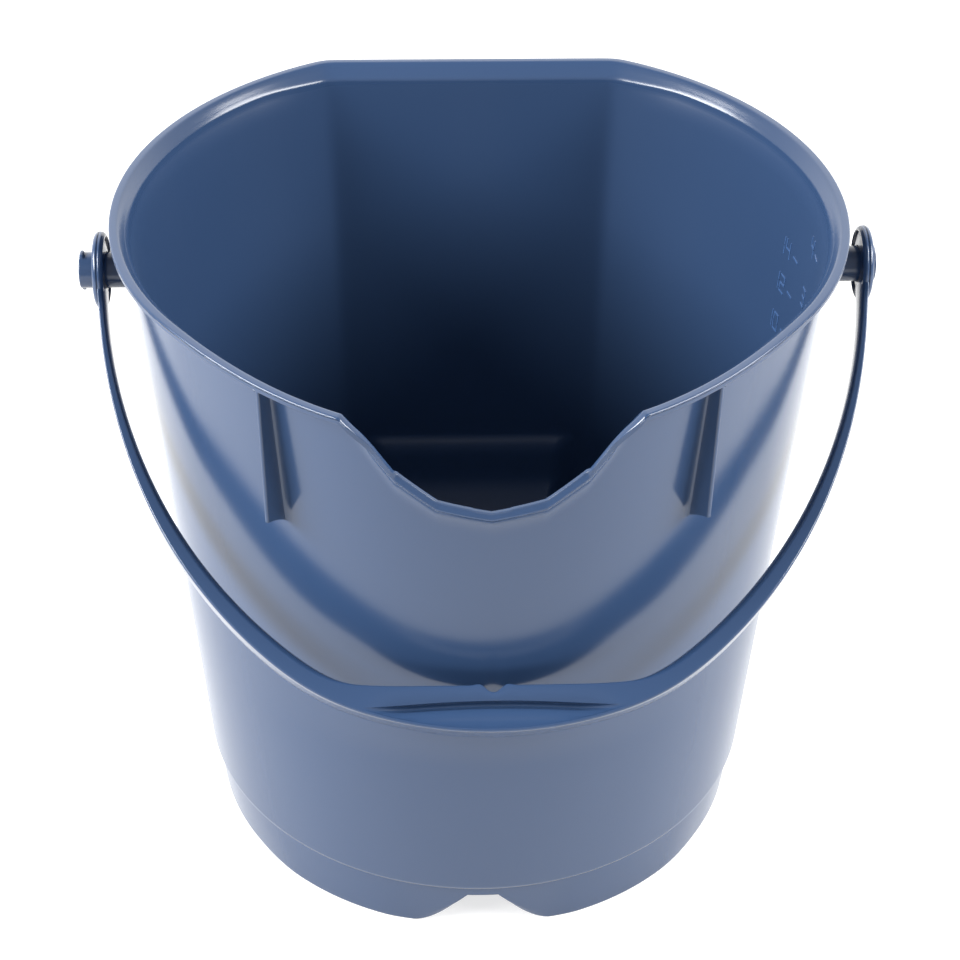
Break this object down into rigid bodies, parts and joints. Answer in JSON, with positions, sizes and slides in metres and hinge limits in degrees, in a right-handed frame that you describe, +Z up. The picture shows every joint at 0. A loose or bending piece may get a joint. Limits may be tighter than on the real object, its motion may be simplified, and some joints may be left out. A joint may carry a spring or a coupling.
{
  "type": "feed bucket",
  "caption": "Flat-backed plastic feed bucket with a pouring spout, stiffening ribs, a foot ring and a swinging bail handle with a moulded grip.",
  "frame": {"origin": "on the ground under the middle of the object's box, with the bail resting on the front", "axes": "+Z up, the pouring spout and the resting bail face -Y, the flat back faces +Y, X runs along the bail's hinge"},
  "size_m": [0.3624, 0.3252, 0.325],
  "materials": {
    "bucket_blue": "semi-gloss moulded polypropylene",
    "bail_blue": "semi-gloss moulded polypropylene"
  },
  "bodies": {
    "bucket": {"bucket_shell": "bucket_blue"},
    "bail": {"bail_handle": "bail_blue"}
  },
  "joints": [
    {"name": "bail_swing", "type": "hinge", "parent": "bucket", "child": "bail", "pos_m": [0, 0.01454, 0.2927], "axis": [-1, 0, 0], "range_deg": [0, 262]}
  ]
}
